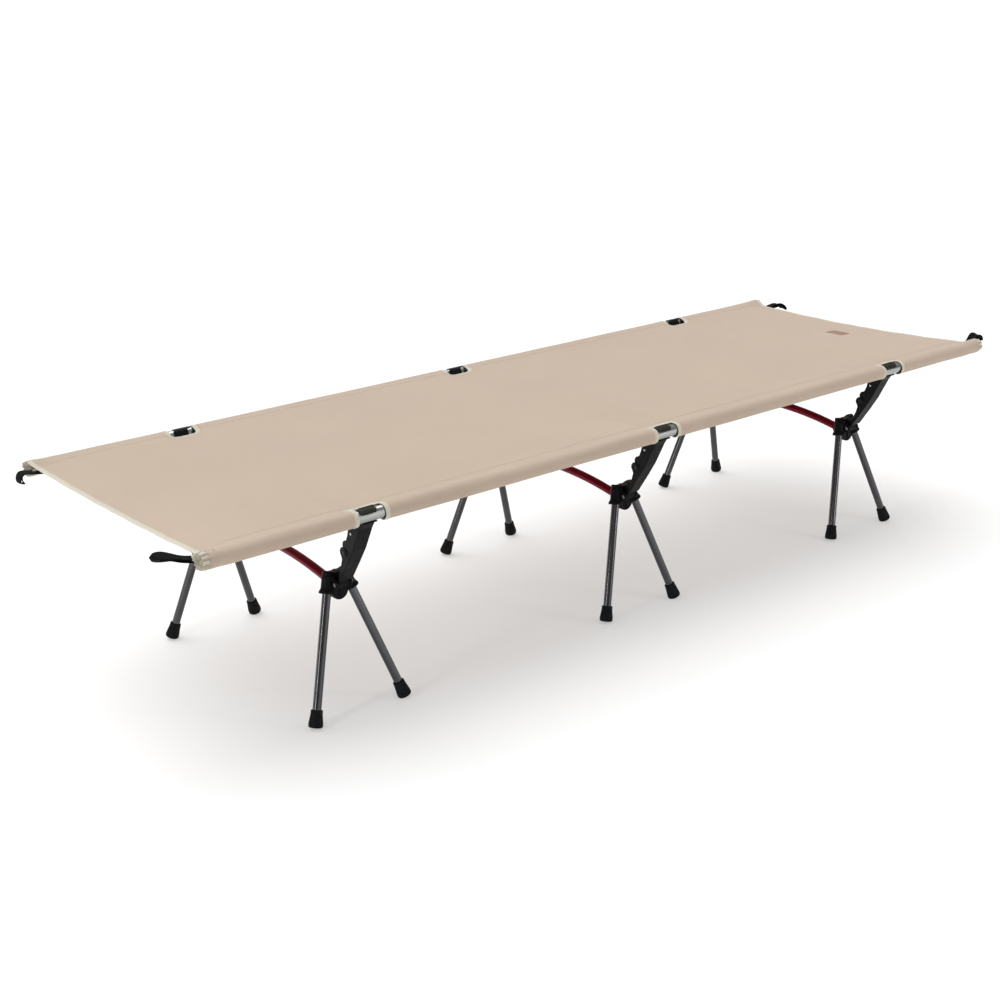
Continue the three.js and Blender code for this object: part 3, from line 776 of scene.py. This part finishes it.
def build_label():
    """Plain woven label sewn on the deck near one end."""
    centre_u, centre_w = 0.822, -0.041
    half_u, half_w = 14 * MM, 23 * MM
    corner = 2 * MM
    outline = []
    for cx, cw, start in ((1, 1, 0), (-1, 1, pi / 2), (-1, -1, pi), (1, -1, 3 * pi / 2)):
        outline += arc(centre_u + cx * (half_u - corner), centre_w + cw * (half_w - corner), corner,
                       start, start + pi / 2, 4)
    verts, uvs = [], []
    rings = [(1.0, 0.35), (1.0, 0.75), (0.985, 0.95), (0.90, 0.95), (0.88, 0.8), (0.5, 0.8)]
    for scale, lift in rings:
        for u, w in outline:
            pu, pw = centre_u + (u - centre_u) * scale, centre_w + (w - centre_w) * scale
            verts.append(cloth_point(pu, pw) + cloth_normal(pu, pw) * lift * MM)
            uvs.append((pu, pw))
    faces = wall_faces(len(outline), len(rings))
    add_piece("plain_label", make_mesh("plain_label", verts, faces, uvs), LABEL, ROOT)


# ---- pull loops

def loop_spine(length, bends):
    """Side view of a loop's middle line: bends is a list of (share of the length, heading in degrees)."""
    steps = 36
    spine, headings = [Vector((0, 0))], [radians(bends[0][1])]
    for k in range(steps):
        t = (k + 0.5) / steps
        for (t0, h0), (t1, h1) in zip(bends, bends[1:]):
            if t0 <= t <= t1:
                heading = radians(h0 + (h1 - h0) * smoothstep((t - t0) / (t1 - t0)))
        spine.append(spine[-1] + Vector((cos(heading), sin(heading))) * (length / steps))
        headings.append(heading)
    return spine, headings


def loop_line(length, bends, eye, eye_from):
    """The webbing's middle line: out along the upper layer, round the tip and back along the lower one."""
    spine, headings = loop_spine(length, bends)
    count = len(spine) - 1
    upper, lower = [], []
    for k, (point, heading) in enumerate(zip(spine, headings)):
        t = k / count
        grow = smoothstep((t - eye_from) / (0.86 - eye_from))
        close = sqrt(max(0.0, 1 - max(0.0, (t - 0.86) / 0.14) ** 2))
        gap = (0.85 * MM + eye * grow / 2) * close
        up = Vector((-sin(heading), cos(heading)))
        upper.append(point + up * gap)
        lower.append(point - up * gap)
    return upper + list(reversed(lower[:-1]))


WEBBING_WIDTH = 19 * MM
WEBBING_THICKNESS = 1.5 * MM
LOOP_OUTWARD = 4 * MM


def build_loop(name, end, side, inset, root_z, roll, settings):
    middle_y = centre(f"pull_loop_{name}").y
    root = Vector((end * (DECK_HALF - inset * MM), middle_y + side * LOOP_OUTWARD, root_z * MM))
    line = loop_line(**settings)
    section = [(a * WEBBING_WIDTH / 2, b * WEBBING_THICKNESS / 2) for a, b in flat_oval(16, 0.35, 0.8)]
    verts, uvs = [], []
    travelled = 0.0
    for k, point in enumerate(line):
        along = (line[min(len(line) - 1, k + 1)] - line[max(0, k - 1)]).normalized()
        up = Vector((-along.y, along.x))
        if k:
            travelled += (point - line[k - 1]).length
        twist = 0.10 * sin(2.2 * point.x / 0.05 + end + side)
        for a, b in section:
            place = point + up * (b + a * (twist + roll))
            verts.append(root + Vector((end * place.x, a, place.y)))
            uvs.append((travelled, a))
    mesh = make_mesh(f"webbing_loop_{name}", verts, wall_faces(len(section), len(line)), uvs)
    add_piece(f"webbing_loop_{name}", mesh, WEBBING, ROOT, replaces=[f"pull_loop_{name}"])
    build_bar_tacks(name, end, root, settings)


def build_bar_tacks(name, end, root, settings):
    """Three rows of dense stitches across the webbing where the loop is sewn shut."""
    spine, headings = loop_spine(settings["length"], settings["bends"])
    parts = []
    for k in (15, 16, 17):
        point, heading = spine[k], headings[k]
        up = Vector((0, 0, 1)) * cos(heading) - Vector((end, 0, 0)) * sin(heading)
        for n in range(-5, 6):
            place = root + Vector((end * point.x, n * 1.5 * MM, point.y)) + up * 1.75 * MM
            parts.append(stitch(place, Vector((0, 1, 0)), up, 1.35 * MM, 0.28 * MM))
    mesh = make_mesh(f"bar_tack_{name}", *join_parts(parts)[:2])
    add_piece(f"bar_tack_{name}", mesh, DARK_THREAD, ROOT)


# Each loop: bed end, side, how far in its root lies (mm), the root's height (mm), sideways tilt, side view
LOOPS = {
    "near_left": (-1, -1, 24, 365, 0.40, dict(
        length=85 * MM, eye=5.5 * MM, eye_from=0.5,
        bends=[(0, 2), (0.2, 8), (0.5, 20), (0.8, 16), (1, 8)])),
    "far_left": (-1, 1, 24, 366, 0.06, dict(
        length=68 * MM, eye=4 * MM, eye_from=0.45,
        bends=[(0, 4), (0.3, 14), (0.6, 6), (0.8, -80), (1, -165)])),
    "near_right": (1, -1, 0, 364, 0.25, dict(
        length=62 * MM, eye=1.5 * MM, eye_from=0.5,
        bends=[(0, 28), (0.4, 48), (0.7, -20), (1, -95)])),
    "far_right": (1, 1, 24, 362, -0.25, dict(
        length=98 * MM, eye=0.4 * MM, eye_from=0.6,
        bends=[(0, 4), (0.3, 13), (0.6, 4), (0.85, -30), (1, -50)])),
}


# ---- tubes

def build_poles():
    for side in SIDES:
        middle = centre(f"side_pole_{side}")
        start = middle - Vector((POLE_LENGTH / 2, 0, 0))
        profile = tube_profile(POLE_RADIUS, 1.3 * MM, POLE_LENGTH, 0.1)
        verts, faces = closed_lathe(profile, 64, start, (1, 0, 0))
        name = f"side_tube_{side}"
        add_piece(name, make_mesh(name, verts, faces), SILVER, ROOT,
                  replaces=[f"side_pole_{side}"])


BOW_LOW, BOW_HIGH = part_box("bow_2")
BOW_RADIUS = (BOW_HIGH[0] - BOW_LOW[0]) / 2
BOW_HALF_SPAN = 199 * MM
BOW_CROWN_Z = BOW_HIGH[2] - BOW_RADIUS
BOW_BEND = 0.860
BOW_WALL = 1.5 * MM


def bow_point(y):
    return Vector((0, y, BOW_CROWN_Z - BOW_BEND + sqrt(BOW_BEND ** 2 - y * y)))


def build_bows():
    sides, steps = 48, 60
    stations = [BOW_HALF_SPAN * (2 * k / steps - 1) for k in range(steps + 1)]
    wall = [(y, BOW_RADIUS) for y in stations] + [(y, BOW_RADIUS - BOW_WALL) for y in reversed(stations)]
    across = Vector((1, 0, 0))
    verts = []
    for y, radius in wall:
        up = across.cross(bow_point(y + MM) - bow_point(y - MM)).normalized()
        for i in range(sides):
            t = 2 * pi * i / sides
            verts.append(bow_point(y) + across * (radius * cos(t)) + up * (radius * sin(t)))
    mesh = make_mesh("bow_tube", verts, wall_faces(sides, len(wall), closed=True))
    for number, frame_x in enumerate(FRAME_X, 1):
        add_piece(f"bow_tube_{number}", mesh, RED, ROOT,
                  Matrix.Translation((frame_x, 0, 0)), [f"bow_{number}"])


LEG_MOUTH = Vector((24.6, 214.8, 211.4)) * MM
LEG_RADIUS = 7.5 * MM
LEG_INSERT = 28 * MM
LEG_END_GAP = 14 * MM
LEG_TO_FLOOR = LEG_MOUTH.z / -LEG_AXIS.z


def leg_direction(side_x):
    return Vector((LEG_AXIS.x * side_x, LEG_AXIS.y, LEG_AXIS.z))


def leg_point(side_x, station):
    return Vector((LEG_MOUTH.x * side_x, LEG_MOUTH.y, LEG_MOUTH.z)) + leg_direction(side_x) * station


def leg_mesh(side_x):
    length = LEG_TO_FLOOR - LEG_END_GAP + LEG_INSERT
    profile = tube_profile(LEG_RADIUS, 1.2 * MM, length, 0.02)
    verts, faces = closed_lathe(profile, 48, leg_point(side_x, -LEG_INSERT), leg_direction(side_x))
    return make_mesh("leg_tube", verts, faces)


FOOT_LENGTH = 30 * MM
FOOT_RADIUS = 12.4 * MM
FOOT_EDGE = 3.2 * MM
FOOT_SQUASH = 0.5 * MM


def foot_mesh(side_x):
    """Rubber boot square to the leg, grooved near its top, pressed flat where it meets the floor."""
    lean = sqrt(1 - LEG_AXIS.z ** 2)
    rise = ((FOOT_RADIUS - FOOT_EDGE) * lean + FOOT_EDGE - FOOT_SQUASH) / -LEG_AXIS.z - FOOT_EDGE
    bore = [(0, 19.6), (7.75, 19.6), (7.75, 0.6)]
    side = [(8.3, 0.1), (9.4, 0.3), (10.1, 1.2), (10.3, 2.6), (10.3, 4.6), (9.85, 5.1), (9.85, 5.8),
            (10.45, 6.3), (10.6, 8.2), (10.15, 8.7), (10.15, 9.4), (10.8, 9.9), (11.2, 14), (11.8, 18),
            (12.35, 21.6), (12.4, 24)]
    profile = in_mm(bore + side)
    profile = [profile[0]] + rounded(profile[1:], 0.5 * MM, 2)
    profile += arc(FOOT_RADIUS - FOOT_EDGE, FOOT_LENGTH - FOOT_EDGE, FOOT_EDGE, 0, pi / 2, 8)
    profile += [(6 * MM, FOOT_LENGTH + 0.6 * MM), (0, FOOT_LENGTH + 0.9 * MM)]
    start = leg_point(side_x, LEG_TO_FLOOR - rise - FOOT_LENGTH)
    verts, faces = lathe(profile, 64, start, leg_direction(side_x))
    for v in verts:
        v.z = max(v.z, 0.0)
    return make_mesh("rubber_foot", verts, faces)


# ---- hub

def yz_at_x(a, b, depth):
    return Vector((depth, a, b))


def xz_at_y(a, b, depth):
    return Vector((a, depth, b))


def solid_rod(start, end, radius, sides=48):
    span = Vector(end) - Vector(start)
    return lathe([(0, 0), (radius, 0), (radius, span.length), (0, span.length)], sides, start, span)


def cross_rod(y, z, half, radius, sides=48):
    return solid_rod((-half, y, z), (half, y, z), radius, sides)


CUP_MOUTH_Y = 188 * MM
CUP_RADIUS = 11.4 * MM


def hub_mesh():
    """A web and rib between two leg sockets, two ears for the link's pin, and a cup for the bow."""
    parts, cuts = [], []
    web_low, web_high = 203 * MM, 219 * MM
    belly = in_mm([(-13, 246), (-17, 218)]) + arc(0, 212 * MM, 16 * MM, pi, 2 * pi, 24)
    belly += in_mm([(17, 218), (13, 246)])
    parts.append(prism(belly, web_low, web_high, xz_at_y))
    rib = in_mm([(-2, 246), (-2, 197), (2, 197), (2, 246)])
    parts.append(prism(rib, web_low - 2 * MM, web_high + 2.2 * MM, xz_at_y))
    for side_x in (-1, 1):
        direction = leg_direction(side_x)
        top = leg_point(side_x, -38 * MM)
        socket = [(0, 0), (9.6, 0), (10.8, 1.4), (10.8, 28.5), (11.4, 30.5), (13.3, 34.5), (13.6, 35.6),
                  (13.6, 37.4), (12.9, 38), (0, 38)]
        band = [(0, 9), (11.5, 9.4), (11.5, 12.2), (0, 12.6)]
        for profile in (socket, band):
            parts.append(lathe(in_mm(profile), 64, top, direction))
        cuts.append(solid_rod(leg_point(side_x, -30 * MM), leg_point(side_x, 25 * MM), 7.85 * MM))
        ear = in_mm([(207, 241), (207, 216)])
        ear += arc(HUB_PIN.y, HUB_PIN.z, 7.6 * MM, radians(-80), radians(70), 20)
        low, high = sorted((side_x * 10.4 * MM, side_x * 15.3 * MM))
        parts.append(prism(ear, low, high, yz_at_x))
        boss = [(x * MM, HUB_PIN.y, HUB_PIN.z) for x in sorted((side_x * 12, side_x * 16.2))]
        parts.append(solid_rod(*boss, 6.2 * MM))
    seat, mouth = bow_point(BOW_HALF_SPAN), bow_point(CUP_MOUTH_Y)
    inward = (mouth - seat).normalized()
    parts.append(solid_rod(mouth, seat - inward * 8 * MM, CUP_RADIUS))
    parts.append(solid_rod(mouth - inward * 0.2 * MM, mouth - inward * 3 * MM, CUP_RADIUS + 0.8 * MM))
    cuts.append(solid_rod(mouth + inward * 8 * MM, seat - inward * 0.4 * MM, 8.35 * MM))
    cuts.append(cross_rod(HUB_PIN.y, HUB_PIN.z, 25 * MM, 2.9 * MM))
    return moulded("leg_hub", parts, cuts, 0.55 * MM, 5, 0.32)


def pin_mesh():
    half, shank = 18.2, 16.5
    profile = in_mm([(0, -half), (3.6, -half + 0.1), (4.6, -half + 0.9), (4.6, -shank), (2.7, -shank),
                     (2.7, shank), (4.6, shank), (4.6, half - 0.9), (3.6, half - 0.1), (0, half)])
    profile = [profile[0]] + rounded(profile[1:-1], 0.3 * MM, 2) + [profile[-1]]
    verts, faces = lathe(profile, 32, (0, HUB_PIN.y, HUB_PIN.z), (1, 0, 0))
    return make_mesh("hinge_pin", verts, faces)


# ---- lever and link

POLE_SPOT = Vector((POLE_Y, POLE_Z))
PIN_SPOT = Vector((HUB_PIN.y, HUB_PIN.z))
TOGGLE = (POLE_SPOT - PIN_SPOT).normalized()
INWARD = Vector((-TOGGLE.y, TOGGLE.x))


def toggle(station, offset):
    return tuple(PIN_SPOT + TOGGLE * (station * MM) + INWARD * (offset * MM))


CHEEK_OUT = 13.5 * MM
CHEEK_IN = 10.6 * MM


def lever_mesh():
    """Two cheeks with finger grips and bosses, a back plate, and the hook round the pole."""
    outer = [(14, -5.2), (30, -6.0), (60, -7.6), (95, -8.6), (130, -6.4), (166, -3.6)]
    grips = [(108, 15.6), (98, 14.6), (94.5, 16.6), (92, 19), (87, 20.2), (82, 18.8), (79, 15.6),
             (76.5, 18.4), (73.5, 20), (68, 20.2), (63.5, 17.5), (61, 12.5)]
    cheek = outer + [(166, 8), (151, 13), (140, 17), (124, 19.4), (119, 18.6)] + grips
    cheek += [(58, 8.0), (40, 3.4), (14, -2.2)]
    plate = outer + [(s, q + 2.8) for s, q in reversed(outer)]
    parts = []
    for low, high in ((CHEEK_IN, CHEEK_OUT), (-CHEEK_OUT, -CHEEK_IN)):
        parts.append(prism([toggle(s, q) for s, q in cheek], low, high, yz_at_x))
    parts.append(prism([toggle(s, q) for s, q in plate], -CHEEK_OUT, CHEEK_OUT, yz_at_x))
    for low, high in ((13.2, 15.0), (-15.0, -13.2)):
        boss = arc(*toggle(76, 6), 7.2 * MM, 0, 2 * pi * 39 / 40, 39)
        parts.append(prism(boss, low * MM, high * MM, yz_at_x))
    lip, heel = radians(116), radians(288)
    hook = arc(POLE_Y, POLE_Z, 14.2 * MM, lip, heel, 40) + arc(POLE_Y, POLE_Z, 11 * MM, heel, lip, 40)
    parts.append(prism(hook, -14 * MM, 14 * MM, yz_at_x))
    saddle = [(146, -5.4), (156, -6.0), (164, -7.5), (168, -8.5), (168, 13.5), (160, 12), (150, 9)]
    parts.append(prism([toggle(s, q) for s, q in saddle], -CHEEK_OUT, CHEEK_OUT, yz_at_x))
    pole_seat = cross_rod(POLE_Y, POLE_Z, 25 * MM, 11.8 * MM, 96)
    return moulded("tension_lever", parts, [pole_seat], 0.6 * MM, 4, 0.3)


def link_mesh():
    """A bar with a round eye at the hub's pin and at the knuckle."""
    along = atan2(KNUCKLE.z - HUB_PIN.z, KNUCKLE.y - HUB_PIN.y)
    eye_radius, half_neck = 6.3 * MM, 3 * MM
    neck = asin(half_neck / eye_radius)
    outline, bores = [], []
    for spot, heading in ((HUB_PIN, along), (KNUCKLE, along + pi)):
        outline += arc(spot.y, spot.z, eye_radius, heading + neck, heading + 2 * pi - neck, 30)
        bores.append(cross_rod(spot.y, spot.z, 15 * MM, 3.1 * MM, 32))
    return moulded("toggle_link", [prism(outline, -9.6 * MM, 9.6 * MM, yz_at_x)], bores, 0.5 * MM, 3, 0.3)


def rivet_mesh(name, spot, head, seat):
    """A rivet across the lever: two domed heads that sit on its cheeks, and its shank."""
    half, shank = seat + 0.34 * head, 0.6 * head
    dome = [(0, half), (0.55 * head, half - 0.04 * head), (0.9 * head, half - 0.2 * head), (head, seat)]
    profile = [(r, -x) for r, x in dome] + [(shank, -seat), (shank, seat)] + list(reversed(dome))
    verts, faces = lathe(profile, 32, (0, spot[0], spot[1]), (1, 0, 0))
    return make_mesh(name, verts, faces)


def pad_mesh():
    """Grip pad bonded on top of the pole at a notch: a tongue with round corners and fine ribs."""
    across, along = 34, 44
    half_x, middle_x, corner = 17 * MM, 5 * MM, 7 * MM
    low, high = radians(24) * POLE_RADIUS, radians(112) * POLE_RADIUS
    verts = []
    for layer in (0, 1):
        for i in range(along + 1):
            for j in range(across + 1):
                s, t = 2 * i / along - 1, 2 * j / across - 1
                length = low + (high - low) * (t + 1) / 2
                pinch = max(0.0, low + corner - length)
                width = half_x - (corner - sqrt(max(0.0, corner ** 2 - pinch ** 2)))
                rim = min(half_x * (1 - abs(s)), length - low, high - length)
                climb = max(0.0, min(1.0, rim / (1.6 * MM)))
                crown = sqrt(climb * (2 - climb))
                rib = 0.22 * MM * (0.5 + 0.5 * cos(2 * pi * s * 9)) * crown
                height = layer * ((0.25 + 1.15 * crown) * MM + rib)
                radius, angle = POLE_RADIUS + 0.03 * MM + height, length / POLE_RADIUS
                verts.append((middle_x + s * width, POLE_Y + radius * cos(angle),
                              POLE_Z + radius * sin(angle)))
    row, sheet = across + 1, (across + 1) * (along + 1)
    faces = []
    for i in range(along):
        for j in range(across):
            a = i * row + j
            faces.append((a, a + 1, a + row + 1, a + row))
            faces.append((sheet + a, sheet + a + row, sheet + a + row + 1, sheet + a + 1))
    edge = list(range(across)) + [i * row + across for i in range(along)]
    edge += [along * row + j for j in range(across, 0, -1)] + [i * row for i in range(along, 0, -1)]
    for a, b in zip(edge, edge[1:] + edge[:1]):
        faces.append((b, a, sheet + a, sheet + b))
    return make_mesh("grip_pad", verts, faces)


def build_stations():
    hub, pin, lever, link, pad = hub_mesh(), pin_mesh(), lever_mesh(), link_mesh(), pad_mesh()
    rivet = rivet_mesh("knuckle_rivet", (KNUCKLE.y, KNUCKLE.z), 4.4 * MM, 15.1 * MM)
    small_rivet = rivet_mesh("neck_rivet", toggle(118.5, 9.5), 2.4 * MM, CHEEK_OUT - 0.05 * MM)
    legs = {"a": (leg_mesh(-1), foot_mesh(-1)), "b": (leg_mesh(1), foot_mesh(1))}
    for number, frame_x in enumerate(FRAME_X, 1):
        for side in SIDES:
            key = f"{number}_{side}"
            place = Matrix.Translation((frame_x, 0, 0)) @ SIDES[side]
            pieces = [
                ("leg_hub", hub, NYLON, ROOT, "black_nylon", "hub"),
                ("hinge_pin", pin, DARK_STEEL, ROOT, "pin_steel", "hub_pin"),
                ("tension_lever", lever, NYLON, f"lever_{key}", "black_nylon", "lever"),
                ("knuckle_rivet", rivet, BLACK_STEEL, f"lever_{key}", "pin_steel", None),
                ("neck_rivet", small_rivet, RIVET_STEEL, f"lever_{key}", "pin_steel", None),
                ("toggle_link", link, NYLON, f"link_{key}", "black_nylon", "link"),
                ("grip_pad", pad, PAD, ROOT, "black_nylon", None),
            ]
            for name, mesh, material, body, slot, node in pieces:
                replaces = [f"{node}_{key}"] if node else ()
                add_piece(f"{name}_{key}", mesh, material, body, place, replaces)
            for letter, (tube, foot) in legs.items():
                leg = f"leg_{key}_{letter}"
                add_piece(f"leg_tube_{key}_{letter}", tube, ANODISED, leg, place, [leg])
                add_piece(f"rubber_foot_{key}_{letter}", foot, RUBBER, leg, place,
                          [f"foot_{key}_{letter}"])


# ---- studio

def add_light(name, kind, energy, direction, place=(0, 0, 0)):
    data = bpy.data.lights.new(name, kind)
    data.energy = energy
    light = add_object(name, data)
    light.location = place
    light.rotation_euler = Vector(direction).to_track_quat("-Z", "Y").to_euler()
    return data


def build_studio():
    """A wide glowing floor, a sky that is bright at the horizon and dim above, and soft high light."""
    reach = 3000
    corners = [(-reach, -reach, 0), (reach, -reach, 0), (reach, reach, 0), (-reach, reach, 0)]
    pale, tree, shader = new_material("studio_floor", (0.54, 0.54, 0.54), 0.9, specular=0.0)
    wire(tree, shader, {"Emission Color": (1, 1, 1, 1), "Emission Strength": 0.40})
    add_object("floor", make_mesh("floor", corners, [(0, 1, 2, 3)]), pale)
    world = bpy.data.worlds.new("studio")
    world.use_nodes = True
    tree = world.node_tree
    direction = tree.nodes.new("ShaderNodeTexCoord").outputs["Generated"]
    split = add_node(tree, "ShaderNodeSeparateXYZ", {0: direction})
    height = math_of(tree, "ABSOLUTE", split.outputs[2])
    stops = [(0.08, (1.0, 1.0, 1.0)), (0.17, (0.20, 0.20, 0.205)), (1.0, (0.56, 0.56, 0.565))]
    wire(tree, tree.nodes["Background"], {"Color": ramp(tree, height, stops)})
    bpy.context.scene.world = world
    add_light("high_light", "SUN", 2.95, (0.0, -0.45, -1.0)).angle = radians(75)
    add_light("front_light", "SUN", 0.12, (0.75, 0.9, -0.75)).angle = radians(30)
    aim = Vector((0, 0, 0.2))
    for name, place in (("left_strip", (-3.2, -0.6, 0.9)), ("right_strip", (1.6, -3.0, 1.0))):
        strip = add_light(name, "AREA", 20, aim - Vector(place), place)
        strip.shape = "RECTANGLE"
        strip.size, strip.size_y = 0.25, 1.8
    view = bpy.context.scene.view_settings
    view.view_transform = "Standard"
    view.look = "None"


def build_camera():
    azimuth, elevation, roll, distance = radians(-37.82), radians(18.64), radians(-2.22), 3.0457
    target = Matrix.Translation((-0.1436, -0.0104, 0.2))
    turn = Matrix.Rotation(azimuth, 4, "Z") @ Matrix.Rotation(pi / 2 - elevation, 4, "X")
    place = target @ turn @ Matrix.Rotation(roll, 4, "Z") @ Matrix.Translation((0, 0, distance))
    data = bpy.data.cameras.new("camera")
    data.sensor_width = 36
    data.lens = 55.87
    bpy.context.scene.camera = add_object("camera", data, matrix=place)


build_camera()
build_studio()
deck = build_deck()
build_trim()
build_sleeve_ends()
build_label()
for loop_name, loop_values in LOOPS.items():
    build_loop(loop_name, *loop_values)
build_poles()
build_bows()
build_stations()
